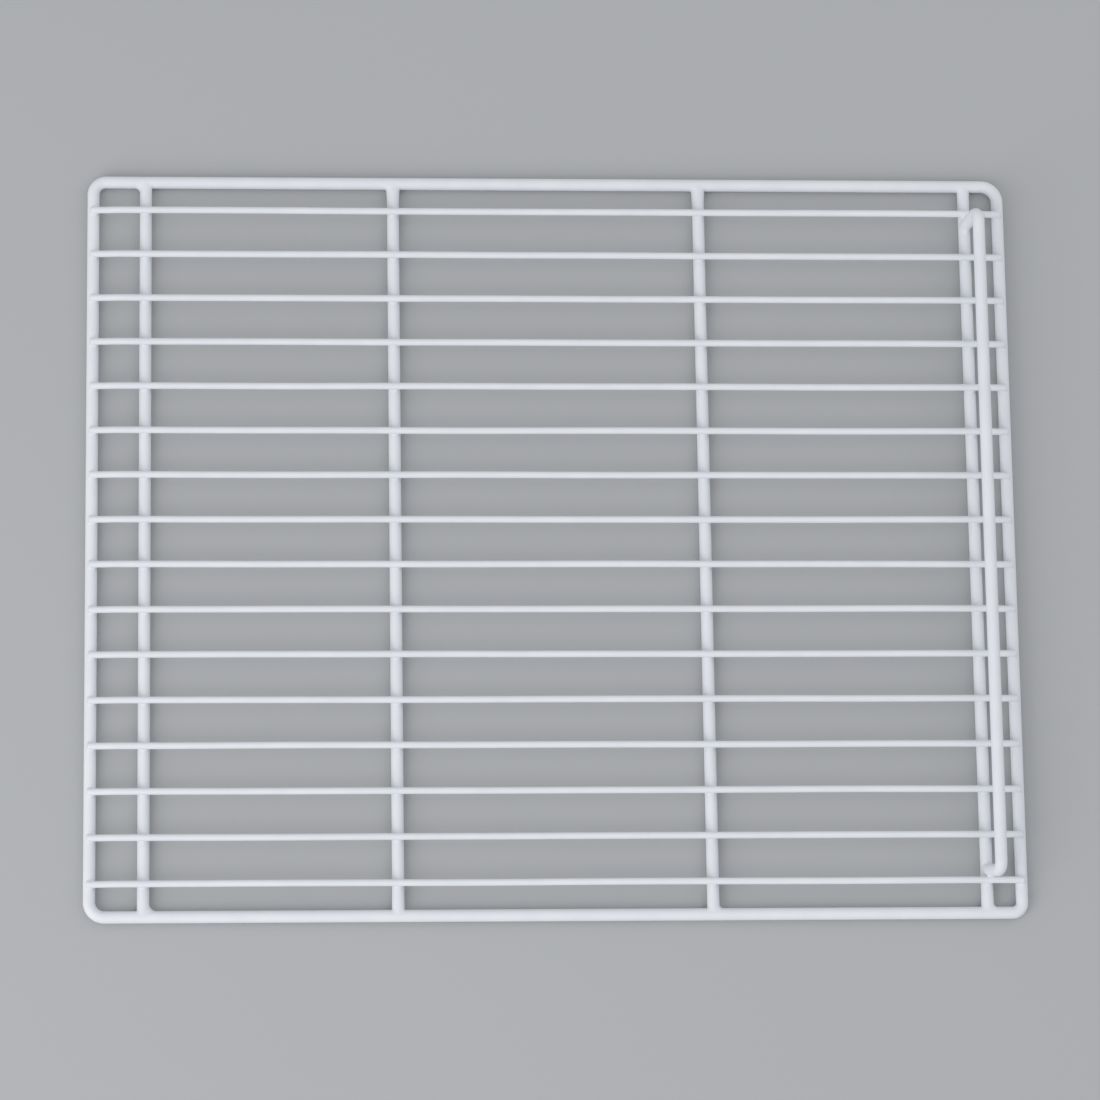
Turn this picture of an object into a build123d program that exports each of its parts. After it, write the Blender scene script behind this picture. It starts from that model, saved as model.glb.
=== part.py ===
from build123d import *
import os
from math import hypot

# Refrigerator shelf: coated steel wires, welded to each other where they meet.
# X runs from the front edge to the rear edge, Y across the shelf, and Z up.
# The origin is the middle of the underside, on the plane that the rim rests on.
# All sizes are in millimetres, and every wire size is taken over its coating.

# Overall size and wires
shelf_depth = 650.0  # front edge to rear edge
shelf_width = 530.0  # side edge to side edge
rim_wire = 8.5
rod_wire = 8.5
stop_wire = 8.5
deck_wire = 4.7

# Rim, whose four corners are bent a little differently: radii on the wire's axis, left as seen from the front
front_left_bend = 9.0
front_right_bend = 10.5
rear_left_bend = 11.5
rear_right_bend = 7.0

# Cross rods, which run across the shelf inside the rim
front_rod_inset = 41.0  # front edge to the axis of the front rod
middle_rod_inset = 215.0  # front edge to the axis of the first middle rod
middle_rod_spacing = 216.6  # between the axes of the two middle rods
rear_rod_inset = 28.3  # rear edge to the axis of the rear rod
butt_sink = 2.5  # how deep a wire's cut end is forged into the wire that it butts on

# Deck wires, which run from front to rear on top of the rim and the rods
deck_wire_count = 16
deck_side_gap = 22.0  # axis of the rim's side to the axis of the nearest deck wire
deck_overhang = 1.5  # how far a deck wire's end passes the rim's axis
deck_end_chamfer = 0.9

# Rear stop, a bar that stands above the deck on two bent legs
stop_rise = 28.0  # axis of the rear rod up to the axis of the bar
stop_lean = 6.0  # how far the bar stands behind the rear rod
stop_splay = 4.7  # how far each leg leans outwards, from its foot to the bar
stop_bend_radius = 7.0  # bend between a leg and the bar, on the wire's axis
leg_clearance = 0.3  # between a leg and the deck wire beside it

# Places that follow from the sizes
rim_axis_x = (shelf_depth - rim_wire) / 2
rim_axis_y = (shelf_width - rim_wire) / 2
rim_axis_z = rim_wire / 2
rod_axis_z = rim_wire - rod_wire / 2  # the rods' tops are level with the rim's top
rod_length = shelf_width - 2 * rim_wire + 2 * butt_sink
deck_axis_z = rim_wire + deck_wire / 2  # the deck wires lie on the rim and the rods
deck_length = 2 * (rim_axis_x + deck_overhang)
outer_deck_y = rim_axis_y - deck_side_gap
deck_pitch = 2 * outer_deck_y / (deck_wire_count - 1)
front_edge_x = -shelf_depth / 2
rod_places = {
    "front_cross_rod": front_edge_x + front_rod_inset,
    "middle_cross_rod_1": front_edge_x + middle_rod_inset,
    "middle_cross_rod_2": front_edge_x + middle_rod_inset + middle_rod_spacing,
    "rear_cross_rod": front_edge_x + shelf_depth - rear_rod_inset,
}

os.makedirs("parts", exist_ok=True)

# Rim: one wire bent round all four corners and closed by a butt weld
with BuildPart() as rim_frame:
    with BuildLine(Plane.XY.offset(rim_axis_z)) as rim_path:
        FilletPolyline(
            (-rim_axis_x, -rim_axis_y),
            (rim_axis_x, -rim_axis_y),
            (rim_axis_x, rim_axis_y),
            (-rim_axis_x, rim_axis_y),
            radius=(front_right_bend, rear_right_bend, rear_left_bend, front_left_bend),
            close=True,
        )
    with BuildSketch(Plane(origin=rim_path.line @ 0, z_dir=rim_path.line % 0)):
        Circle(rim_wire / 2)
    sweep()
rim_frame.part.label = "rim_frame"
export_step(rim_frame.part, "parts/rim_frame.step")

# Cross rods: straight wires whose cut ends are hollowed by the round side of the rim
cross_rods = {}
for rod_name, rod_x in rod_places.items():
    with BuildPart() as cross_rod:
        with BuildSketch(Plane.XZ):
            with Locations((rod_x, rod_axis_z)):
                Circle(rod_wire / 2)
        extrude(amount=rod_length / 2, both=True)
        add(rim_frame.part, mode=Mode.SUBTRACT)
    cross_rod.part.label = rod_name
    export_step(cross_rod.part, f"parts/{rod_name}.step")
    cross_rods[rod_name] = cross_rod.part

# Deck wires: straight wires with bevelled ends, laid over the rim and the rods and welded where they touch
for number in range(deck_wire_count):
    deck_name = f"deck_wire_{number + 1:02d}"
    with BuildPart() as deck:
        with BuildSketch(Plane.YZ):
            with Locations((number * deck_pitch - outer_deck_y, deck_axis_z)):
                Circle(deck_wire / 2)
        extrude(amount=deck_length / 2, both=True)
        chamfer(deck.edges().filter_by(GeomType.CIRCLE), length=deck_end_chamfer)
    deck.part.label = deck_name
    export_step(deck.part, f"parts/{deck_name}.step")

# Rear stop: one wire bent into a bar and two legs, on a plane that leans back from the rear rod.
# The legs stand as close to the outermost deck wires as their clearance lets them.
stop_slope = hypot(stop_rise, stop_lean)
deck_above_rod = deck_axis_z - rod_axis_z
leg_spacing = (deck_wire + stop_wire) / 2 + leg_clearance  # between the axes of a leg and a deck wire
leg_offset = leg_spacing * hypot(stop_rise, stop_splay) + deck_above_rod * stop_splay
leg_foot_y = outer_deck_y - leg_offset / stop_rise
foot_slope = rod_wire / 2 - butt_sink  # the legs' cut ends stand this far above the rod's axis
foot_cut_y = leg_foot_y + stop_splay * foot_slope / stop_slope
stop_end_y = leg_foot_y + stop_splay
stop_plane = Plane(
    origin=(rod_places["rear_cross_rod"], 0, rod_axis_z),
    x_dir=(0, 1, 0),
    z_dir=(stop_rise, 0, -stop_lean),
)
with BuildPart() as rear_stop:
    with BuildLine(stop_plane) as stop_path:
        FilletPolyline(
            (-foot_cut_y, foot_slope),
            (-stop_end_y, stop_slope),
            (stop_end_y, stop_slope),
            (foot_cut_y, foot_slope),
            radius=stop_bend_radius,
        )
    with BuildSketch(Plane(origin=stop_path.line @ 0, z_dir=stop_path.line % 0)):
        Circle(stop_wire / 2)
    sweep()
    add(cross_rods["rear_cross_rod"], mode=Mode.SUBTRACT)
rear_stop.part.label = "rear_stop"
export_step(rear_stop.part, "parts/rear_stop.step")
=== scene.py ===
from math import hypot, pi, radians

import bpy
import numpy as np
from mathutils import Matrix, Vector, noise


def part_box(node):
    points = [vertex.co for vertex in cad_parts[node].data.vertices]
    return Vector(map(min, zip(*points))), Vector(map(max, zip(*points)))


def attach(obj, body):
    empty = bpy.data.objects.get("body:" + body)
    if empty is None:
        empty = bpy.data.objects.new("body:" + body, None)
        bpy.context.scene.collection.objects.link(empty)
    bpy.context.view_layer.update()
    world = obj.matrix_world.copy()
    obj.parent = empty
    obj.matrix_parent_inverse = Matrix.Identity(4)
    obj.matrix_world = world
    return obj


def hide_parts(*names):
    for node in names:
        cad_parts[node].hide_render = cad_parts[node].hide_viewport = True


# Refrigerator shelf: steel wires welded into a grid and dipped in white plastic.
# X runs from the front edge to the rear edge, Y across the shelf, and Z up. All sizes are in metres.
# Left and right are as seen from the front, so left is the side of +Y.

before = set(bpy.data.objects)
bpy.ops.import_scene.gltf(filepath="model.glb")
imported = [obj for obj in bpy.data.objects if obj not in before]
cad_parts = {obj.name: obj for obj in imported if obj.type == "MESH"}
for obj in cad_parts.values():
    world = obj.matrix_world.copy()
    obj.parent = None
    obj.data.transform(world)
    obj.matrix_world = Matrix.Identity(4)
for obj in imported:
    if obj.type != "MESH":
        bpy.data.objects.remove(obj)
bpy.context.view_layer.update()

# Shape of the coated wires
rim_bends = (0.0105, 0.007, 0.0115, 0.009)  # on the axis: front right, rear right, rear left, front left
stop_splay = 0.0047  # how far each leg of the rear stop leans outwards, from its foot to the bar
stop_bends = (0.0055, 0.007)  # between the bar and its right and left leg, on the wire's axis
leg_clearance = 0.0003  # between a leg and the deck wire beside it
coat_ripple = 0.00005  # how deep the unevenness of the coating goes
ripple_length = 0.014
deck_wave = 0.0003  # how far a deck wire strays sideways from a straight line
wave_length = 0.13
end_round = 0.0013  # rounding of a deck wire's cut ends
end_sink = 0.0009  # how much lower the ends of a deck wire lie, where they are pressed into the rim
sink_begins = 0.018  # distance inside the rim's axis where a deck wire starts to dip
sink_reached = 0.0065  # and where it lies as low as its end

# Coating that has gathered where wires meet, as the radius of its hollow
cross_fillet = 0.0016  # round a deck wire where it lies on a rod or on the rim
tip_fillet = 0.0042  # in front of a deck wire's tip on the rim
fillet_change = 0.25  # share by which these two differ from crossing to crossing
crest_fillet = 0.010  # between the crests of a rod and of the rim, where the two surfaces are nearly level
crest_power = 4  # how narrow the part of a rod's end is that has this hollow
foot_fillet = 0.0022  # round the feet of the rear stop, on their outer side
foot_inner_fillet = 0.0050  # on their inner side
leg_fillets = {-1: 0.0008, 1: 0.0020}  # between the right or left leg and the deck wire beside it
seat_depth = 0.00006  # how far the edge of a hollow lies under a wire's full size, just below the ripples

# At the left end (1) and the right end (-1) of a cross rod: the hollow on its front side, the hollow on its
# rear side, and the share by which the rod swells
butt_coats = {
    ("front_cross_rod", 1): (0.0036, 0.0008, 0.02),
    ("front_cross_rod", -1): (0.0008, 0.0050, 0.03),
    ("middle_cross_rod_1", 1): (0.0009, 0.0009, 0.14),
    ("middle_cross_rod_1", -1): (0.0008, 0.0008, 0.05),
    ("middle_cross_rod_2", 1): (0.0010, 0.0008, 0.13),
    ("middle_cross_rod_2", -1): (0.0008, 0.0026, 0.04),
    ("rear_cross_rod", 1): (0.0009, 0.0009, 0.03),
    ("rear_cross_rod", -1): (0.0009, 0.0024, 0.08),
}
swell_length = 0.014  # distance from the rim where a rod starts to swell

# Places in the noise, spread so that no two wires or crossings are alike
fillet_wire_step = 3.7
fillet_seat_step = 5.3
fillet_layer = 0.5
wave_wire_step = 7.1

# Fineness of the meshes
thick_sides = 48  # round the rim, the rods and the stop
thin_sides = 32  # round a deck wire
ring_spacing = 0.004  # along a straight wire
bend_rings = 16
hollow_rings = 10  # across a hollow
end_rings = 8  # over the rounding of a deck wire's end
loop_points = 48  # round a crossing
sharp_angle = radians(50)

# Search for the ball that leaves a hollow, outwards from a crossing
search_steps = 40
search_share = 0.999  # how much it covers of the way to the side of the thicker wire
search_slant = 0.5  # keeps the way along the thicker wire to twice that

# Look of the white coating: satin plastic, slightly cloudy, with a fine orange peel and soft sags
coating_shades = (0.765, 0.785, 0.825, 1), (0.805, 0.820, 0.850, 1)
coating_roughness = 0.46, 0.60
coating_specular = 0.4
grain_span = 0.3, 0.7  # values of the grain between which the shade and the roughness change
cloud_size, cloud_detail = 0.022, 3
gloss_size, gloss_detail = 0.006, 4
peel_size, peel_detail, peel_depth = 0.0014, 2, 0.0001
sag_size, sag_detail, sag_depth = 0.009, 1, 0.0003
bump_strength = 0.5

# Look of the floor
floor_half = 15.0  # half the length of a side
floor_shades = (0.455, 0.46, 0.47, 1), (0.475, 0.48, 0.49, 1)
floor_roughness = 0.9
floor_specular = 0.1
floor_mottle = 3  # scale of its pattern

# Sizes and places read from the frame
rod_names = ["front_cross_rod", "middle_cross_rod_1", "middle_cross_rod_2", "rear_cross_rod"]
deck_names = sorted(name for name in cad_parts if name.startswith("deck_wire_"))
rim_low, rim_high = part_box("rim_frame")
rim_radius = (rim_high.z - rim_low.z) / 2
rim_x = rim_high.x - rim_radius
rim_y = rim_high.y - rim_radius
rim_z = rim_low.z + rim_radius
X, Y, Z = np.eye(3)
loop_angles = np.linspace(0, 2 * pi, loop_points, endpoint=False)[:, None]


def array(*values):
    return np.array(values, float)


def unit(vectors):
    return vectors / np.linalg.norm(vectors, axis=-1, keepdims=True)


def across(vectors, direction):
    """The part of some vectors that stands square to a direction."""
    return vectors - (vectors @ direction)[..., None] * direction


def ring_angles(sides):
    """Angles round a wire. None is straight up or down, where a butt joint has no hollow."""
    return (np.arange(sides) + 0.5) * 2 * pi / sides


def ring_spokes(sides, first, second):
    """Unit vectors round a wire, between two directions that are square to it and to each other."""
    angles = ring_angles(sides)[:, None]
    return np.cos(angles) * first + np.sin(angles) * second


def skin(rings, loop=False):
    """Points and faces of a closed skin over rings, with a fan over each end unless they form a loop."""
    count, sides = rings.shape[:2]
    points = rings.reshape(-1, 3)
    here = np.arange(count * sides).reshape(count, sides)
    there = np.roll(here, -1, axis=0)
    if not loop:
        here, there = here[:-1], there[:-1]
    quads = np.stack([here, np.roll(here, -1, axis=1), np.roll(there, -1, axis=1), there], axis=-1)
    faces = quads.reshape(-1, 4).tolist()
    if not loop:
        first = np.arange(sides)[::-1]
        last = np.arange(sides) + (count - 1) * sides
        for middle, edge in ((rings[0].mean(axis=0), first), (rings[-1].mean(axis=0), last)):
            tip = np.full(sides, len(points))
            points = np.vstack([points, middle])
            faces += np.stack([edge, np.roll(edge, -1), tip], axis=-1).tolist()
    return points, faces


def volume(points, faces):
    """Six times the volume inside a closed skin, below zero where its faces look inwards."""
    corners = np.array([[f[0], f[i], f[i + 1]] for f in faces for i in range(1, len(f) - 1)])
    a, b, c = (points[corners[:, i]] for i in range(3))
    return (np.cross(a, b) * c).sum()


def bent_path(corners, bends, closed):
    """Points and directions along a wire that runs straight between corners and is bent round each."""
    count = len(corners)
    bent = range(count) if closed else range(1, count - 1)
    arcs = {}
    for i, bend in zip(bent, bends):
        come, go = unit(corners[i] - corners[i - 1]), unit(corners[(i + 1) % count] - corners[i])
        turn = np.arccos(come @ go)
        inward = unit(across(go, come))
        start = corners[i] - come * bend * np.tan(turn / 2)
        a = np.linspace(0, turn, bend_rings)[:, None]
        arcs[i] = (
            start + bend * (np.sin(a) * come + (1 - np.cos(a)) * inward),
            np.cos(a) * come + np.sin(a) * inward,
        )
    points, directions = [], []
    for i in range(count if closed else count - 1):
        following = (i + 1) % count
        begin = arcs[i][0][-1] if i in arcs else corners[i]
        end = arcs[following][0][0] if following in arcs else corners[following]
        if i in arcs:
            points.append(arcs[i][0])
            directions.append(arcs[i][1])
        steps = int(np.linalg.norm(end - begin) / ring_spacing)
        share = np.linspace(0, 1, steps + 1)[1:-1, None]
        points.append(begin + share * (end - begin))
        directions.append(np.repeat(unit(end - begin)[None], len(share), axis=0))
    return np.vstack(points), np.vstack(directions)


def tube(points, directions, normal, radius, sides):
    """Rings round a path whose bends all lie in the plane with that normal."""
    a = ring_angles(sides)[None, :, None]
    out = np.cross(directions, normal)[:, None]
    return points[:, None] + radius * (np.cos(a) * normal + np.sin(a) * out)


def rippled(rings, centres):
    """Rings with the slight unevenness of a dipped coating, which only ever goes inwards."""
    depth = np.array([noise.noise(Vector(p / ripple_length)) for p in rings.reshape(-1, 3)])
    depth = coat_ripple * (0.5 + 0.5 * depth.reshape(rings.shape[:2]))[..., None]
    return rings - depth * unit(rings - centres[:, None])


def turned(start, end, rows):
    """Unit vectors in even steps from one set of directions to another."""
    angle = np.arccos(np.clip((start * end).sum(axis=-1), -1, 1))[:, None]
    share = np.linspace(0, 1, rows)[:, None, None]
    return (np.sin((1 - share) * angle) * start + np.sin(share * angle) * end) / np.sin(angle)


def butt_rings(place, along, spokes, radius, base, base_along, base_radius, fillet):
    """Rings that spread the end of a wire over the round side of another, as a rolling ball would leave them.

    The wire runs through place in the direction along, towards the other wire's axis."""
    ball = np.asarray(fillet)[:, None]
    start = place + (radius + ball) * spokes
    offset, step = across(start - base, base_along), across(along, base_along)
    a, b = step @ step, offset @ step
    c = (offset * offset).sum(axis=1) - (base_radius + ball[:, 0]) ** 2
    reach = (-b - np.sqrt(np.maximum(b * b - a * c, 0))) / a
    centres = start + reach[:, None] * along
    base_spokes = unit(across(centres - base, base_along))
    return centres + ball * turned(-spokes, -base_spokes, hollow_rings)


def weld_hollow(base, base_along, base_radius, wire, wire_along, wire_radius, wire_run, fillet):
    """A closed ring of coating that fills the corner round a wire where it lies on a thicker one.

    Its hollow face is what a ball leaves that rolls round the crossing and touches both wires. The two places
    are the nearest points of the axes, and wire_run says how far the wire goes back and forth from there."""
    base_radius = base_radius - seat_depth
    core_radius = wire_radius - seat_depth - end_round
    up = unit(wire - base)
    aside = np.cross(base_along, up)
    ball_path = base_radius + fillet
    nearest = np.zeros((loop_points, 1))
    furthest = search_share * ball_path / np.maximum(np.abs(np.cos(loop_angles)), search_slant)
    for _ in range(search_steps):
        reach = (nearest + furthest) / 2
        offset, along = reach * np.cos(loop_angles), reach * np.sin(loop_angles)
        height = np.sqrt(np.maximum(ball_path**2 - offset**2, 0))
        centres = base + offset * aside + along * base_along + height * up
        spoke = across(centres - wire, wire_along)
        spoke *= np.minimum(1, core_radius / np.linalg.norm(spoke, axis=1, keepdims=True))
        core = wire + np.clip((centres - wire) @ wire_along, *wire_run)[:, None] * wire_along + spoke
        inside = np.linalg.norm(centres - core, axis=1, keepdims=True) < end_round + fillet
        nearest = np.where(inside, reach, nearest)
        furthest = np.where(inside, furthest, reach)
    to_base, to_wire = unit(base + along * base_along - centres), unit(core - centres)
    hollow = centres + fillet * turned(to_base, to_wire, hollow_rings)
    inner = ((hollow[0] + hollow[-1]) / 2 + base + base_radius * up) / 2
    return skin(np.concatenate([hollow, inner[None]]).transpose(1, 0, 2), loop=True)


def nearest_points(place, along, other_place, other_along):
    """The points of two axes that lie nearest to each other."""
    apart, slant = place - other_place, along @ other_along
    here, there = along @ apart, other_along @ apart
    share = 1 - slant**2
    return (
        place + (slant * there - here) / share * along,
        other_place + (there - slant * here) / share * other_along,
    )


def add_object(name, data):
    thing = bpy.data.objects.new(name, data)
    bpy.context.scene.collection.objects.link(thing)
    return thing


def make_piece(node, shells):
    """One mesh from closed skins, which stands for a CAD node."""
    points, faces = [], []
    for shell_points, shell_faces in shells:
        flip = -1 if volume(shell_points, shell_faces) < 0 else 1
        first = sum(len(p) for p in points)
        faces += [tuple(first + i for i in face[::flip]) for face in shell_faces]
        points.append(shell_points)
    mesh = bpy.data.meshes.new(f"{node}_coated")
    mesh.from_pydata(np.vstack(points).tolist(), [], faces)
    mesh.shade_smooth()
    mesh.set_sharp_from_angle(angle=sharp_angle)
    mesh.materials.append(coating)
    piece = add_object(mesh.name, mesh)
    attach(piece, "root")
    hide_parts(node)


def new_material(name):
    """A material with its nodes, its links and its shader."""
    material = bpy.data.materials.new(name)
    material.use_nodes = True
    nodes = material.node_tree.nodes
    return material, nodes, material.node_tree.links, nodes["Principled BSDF"]


def set_inputs(node, values):
    for name, value in values.items():
        node.inputs[name].default_value = value


def set_ramp(node, places, shades):
    for element, place, shade in zip(node.color_ramp.elements, places, shades):
        element.position = place
        element.color = shade


def make_coating():
    material, nodes, links, shader = new_material("white_coating")
    set_inputs(shader, {"Specular IOR Level": coating_specular})
    place = nodes.new("ShaderNodeTexCoord")

    def grain(size, detail):
        texture = nodes.new("ShaderNodeTexNoise")
        set_inputs(texture, {"Scale": 1 / size, "Detail": detail})
        links.new(place.outputs["Object"], texture.inputs["Vector"])
        return texture.outputs["Fac"]

    def bump(size, detail, depth):
        node = nodes.new("ShaderNodeBump")
        set_inputs(node, {"Strength": bump_strength, "Distance": depth})
        links.new(grain(size, detail), node.inputs["Height"])
        return node

    tint = nodes.new("ShaderNodeValToRGB")
    set_ramp(tint, grain_span, coating_shades)
    links.new(grain(cloud_size, cloud_detail), tint.inputs["Fac"])
    links.new(tint.outputs["Color"], shader.inputs["Base Color"])

    gloss = nodes.new("ShaderNodeMapRange")
    set_inputs(gloss, {"From Min": grain_span[0], "From Max": grain_span[1]})
    set_inputs(gloss, {"To Min": coating_roughness[0], "To Max": coating_roughness[1]})
    links.new(grain(gloss_size, gloss_detail), gloss.inputs["Value"])
    links.new(gloss.outputs["Result"], shader.inputs["Roughness"])

    peel = bump(peel_size, peel_detail, peel_depth)
    sag = bump(sag_size, sag_detail, sag_depth)
    links.new(peel.outputs["Normal"], sag.inputs["Normal"])
    links.new(sag.outputs["Normal"], shader.inputs["Normal"])
    return material


coating = make_coating()

# Rim: one wire bent round four corners
rim_corners = [
    array(-rim_x, -rim_y, rim_z),
    array(rim_x, -rim_y, rim_z),
    array(rim_x, rim_y, rim_z),
    array(-rim_x, rim_y, rim_z),
]
rim_path, rim_directions = bent_path(rim_corners, rim_bends, closed=True)
rim_rings = tube(rim_path, rim_directions, Z, rim_radius, thick_sides)
make_piece("rim_frame", [skin(rippled(rim_rings, rim_path), loop=True)])

# Cross rods: straight wires that spread over the inner side of the rim at both ends
rods = {}
rod_spokes = ring_spokes(thick_sides, X, Z)
for name in rod_names:
    low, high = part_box(name)
    rod_radius = (high.x - low.x) / 2
    rod_x, rod_z = low.x + rod_radius, low.z + rod_radius
    rods[name] = (rod_x, rod_z, rod_radius)
    middle = array(rod_x, 0, rod_z)
    ends, swells, widest = {}, {}, 0
    for end in (-1, 1):
        front, rear, swells[end] = butt_coats[name, end]
        widest = max(widest, front, rear)
        hollow = np.where(rod_spokes[:, 0] < 0, front, rear)
        ends[end] = butt_rings(
            middle, end * Y, rod_spokes, rod_radius - seat_depth,
            array(0, end * rim_y, rim_z), X, rim_radius - seat_depth,
            hollow + (crest_fillet - hollow) * rod_spokes[:, 2] ** crest_power,
        )
    straight = rim_y - rim_radius - widest - ring_spacing
    y = np.linspace(-straight, straight, int(2 * straight / ring_spacing))
    middles = y[:, None] * Y + middle
    rings = rippled(middles[:, None] + rod_radius * rod_spokes, middles)
    rings = np.concatenate([ends[-1][::-1], rings, ends[1]])
    for end, swell in swells.items():
        near_rim = np.clip((end * rings[..., 1] - rim_y + rim_radius) / swell_length + 1, 0, 1)
        rings[..., 0] += swell * near_rim**2 * (rings[..., 0] - rod_x)
    make_piece(name, [skin(rings)])

# Deck wires: on top of the rods, with ends that dip into the rim and coating round every crossing
seats = [(-rim_x, rim_z, rim_radius), *rods.values(), (rim_x, rim_z, rim_radius)]
rim_seats = {0: -1, len(seats) - 1: 1}  # the seats on the rim, and which way a wire's end points there
deck_spokes = ring_spokes(thin_sides, Y, Z)
lift = np.linspace(0, pi / 2, end_rings)
narrow = end_round * (1 - np.sin(lift))
for number, name in enumerate(deck_names):
    low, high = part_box(name)
    wire_radius = (high.y - low.y) / 2
    wire_y, wire_z = low.y + wire_radius, low.z + wire_radius
    wire_ends = low.x + end_round, high.x - end_round
    run = np.linspace(*wire_ends, int((wire_ends[1] - wire_ends[0]) / ring_spacing))[1:-1]
    x = np.concatenate([
        wire_ends[0] - end_round * np.cos(lift), run, wire_ends[1] + end_round * np.cos(lift[::-1]),
    ])
    girth = wire_radius - np.concatenate([narrow, 0 * run, narrow[::-1]])
    middles = x[:, None] * X + array(0, wire_y, wire_z)
    from_rim = np.clip((rim_x - np.abs(x) - sink_reached) / (sink_begins - sink_reached), 0, 1)
    middles[:, 2] -= end_sink * (1 - from_rim**2 * (3 - 2 * from_rim))
    rings = middles[:, None] + girth[:, None, None] * deck_spokes
    shells = [skin(rippled(rings, middles))]
    for seat, (seat_x, seat_z, seat_radius) in enumerate(seats):
        outward = rim_seats.get(seat, 0)
        before_tip = np.clip(outward * np.cos(loop_angles), 0, 1)
        fillet = cross_fillet + (tip_fillet - cross_fillet) * before_tip**2
        place = Vector((number * fillet_wire_step, seat * fillet_seat_step, fillet_layer))
        fillet *= 1 + fillet_change * noise.noise(place)
        lie_z = wire_z - end_sink * abs(outward)
        shells.append(weld_hollow(
            array(seat_x, wire_y, seat_z), Y, seat_radius,
            array(seat_x, wire_y, lie_z), X, wire_radius, array(*wire_ends) - seat_x, fillet,
        ))
    for points, _ in shells:
        places = [Vector((point_x / wave_length, number * wave_wire_step, 0)) for point_x in points[:, 0]]
        points[:, 1] += deck_wave * array(*map(noise.noise, places))
    make_piece(name, shells)

# Rear stop: one wire bent into a bar and two legs that spread over the top of the rear rod.
# Coating bridges the narrow gap between each leg and the deck wire beside it.
rear_x, rear_z, rear_radius = rods["rear_cross_rod"]
_, stop_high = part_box("rear_stop")
stop_radius = rear_radius
bar_x, bar_z = stop_high.x - stop_radius, stop_high.z - stop_radius
stop_rise = bar_z - rear_z
outer_low, outer_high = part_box(deck_names[-1])
outer_radius = (outer_high.z - outer_low.z) / 2
outer_y, outer_z = outer_high.y - outer_radius, outer_low.z + outer_radius
leg_spacing = outer_radius + stop_radius + leg_clearance
leg_offset = leg_spacing * hypot(stop_rise, stop_splay) + (outer_z - rear_z) * stop_splay
leg_foot_y = outer_y - leg_offset / stop_rise
stop_end_y = leg_foot_y + stop_splay
stop_corners = [
    array(rear_x, -leg_foot_y, rear_z),
    array(bar_x, -stop_end_y, bar_z),
    array(bar_x, stop_end_y, bar_z),
    array(rear_x, leg_foot_y, rear_z),
]
stop_normal = unit(array(stop_rise, 0, rear_x - bar_x))
stop_path, stop_directions = bent_path(stop_corners, stop_bends, closed=False)
above = stop_path[:, 2] - rear_z > rear_radius + foot_inner_fillet + ring_spacing
stop_path, stop_directions = stop_path[above], stop_directions[above]
stop_rings = rippled(tube(stop_path, stop_directions, stop_normal, stop_radius, thick_sides), stop_path)
feet, bridges = [], []
for side, corner, direction in (
    (-1, stop_corners[0], stop_directions[0]),
    (1, stop_corners[-1], stop_directions[-1]),
):
    spokes = ring_spokes(thick_sides, stop_normal, np.cross(direction, stop_normal))
    down = direction if direction[2] < 0 else -direction
    inner_side = np.clip(-side * spokes[:, 1], 0, 1)
    feet.append(butt_rings(
        corner - down * stop_rise, down, spokes, stop_radius - seat_depth,
        array(rear_x, 0, rear_z), Y, rear_radius - seat_depth,
        foot_fillet + (foot_inner_fillet - foot_fillet) * inner_side**2,
    ))
    leg, beside = nearest_points(corner, -down, array(0, side * outer_y, outer_z), X)
    bridges.append(weld_hollow(
        leg, down, stop_radius, beside, X, outer_radius, (-rim_x, rim_x), leg_fillets[side],
    ))
make_piece("rear_stop", [skin(np.concatenate([feet[0][::-1], stop_rings, feet[1]])), *bridges])


# Floor, lamps and world
def make_floor():
    material, nodes, links, shader = new_material("pale_floor")
    set_inputs(shader, {"Roughness": floor_roughness, "Specular IOR Level": floor_specular})
    mottle = nodes.new("ShaderNodeTexNoise")
    set_inputs(mottle, {"Scale": floor_mottle})
    tint = nodes.new("ShaderNodeValToRGB")
    set_ramp(tint, (0, 1), floor_shades)
    links.new(mottle.outputs["Fac"], tint.inputs["Fac"])
    links.new(tint.outputs["Color"], shader.inputs["Base Color"])
    mesh = bpy.data.meshes.new("floor")
    corners = [(x * floor_half, y * floor_half, 0) for x, y in ((-1, -1), (1, -1), (1, 1), (-1, 1))]
    mesh.from_pydata(corners, [], [(0, 1, 2, 3)])
    mesh.materials.append(material)
    floor = add_object("floor", mesh)


def make_lamp(name, place, size, power):
    """A round lamp that shines on the middle of the shelf."""
    lamp = bpy.data.lights.new(name, "AREA")
    lamp.shape = "DISK"
    lamp.size = size
    lamp.energy = power
    holder = add_object(name, lamp)
    holder.location = place
    holder.rotation_euler = (-Vector(place)).to_track_quat("-Z", "Y").to_euler()


make_floor()
make_lamp("key_lamp", place=(-2.0, -1.7, 1.6), size=2.6, power=40)
make_lamp("fill_lamp", place=(2.1, 0.9, 2.0), size=2.4, power=9)
world = bpy.data.worlds.new("studio")
world.use_nodes = True
set_inputs(world.node_tree.nodes["Background"], {"Color": (0.96, 0.98, 1.0, 1), "Strength": 0.68})
bpy.context.scene.world = world
bpy.context.scene.view_settings.view_transform = "Standard"

# Camera, fitted to the photo
camera_data = bpy.data.cameras.new("camera")
camera_data.sensor_width = 36
camera_data.lens = 152.94
camera = add_object("camera", camera_data)
camera.location = (-0.22335, -0.70317, 3.17905)
camera.rotation_euler = (radians(12.439), radians(-3.799), radians(-0.8375))
bpy.context.scene.camera = camera
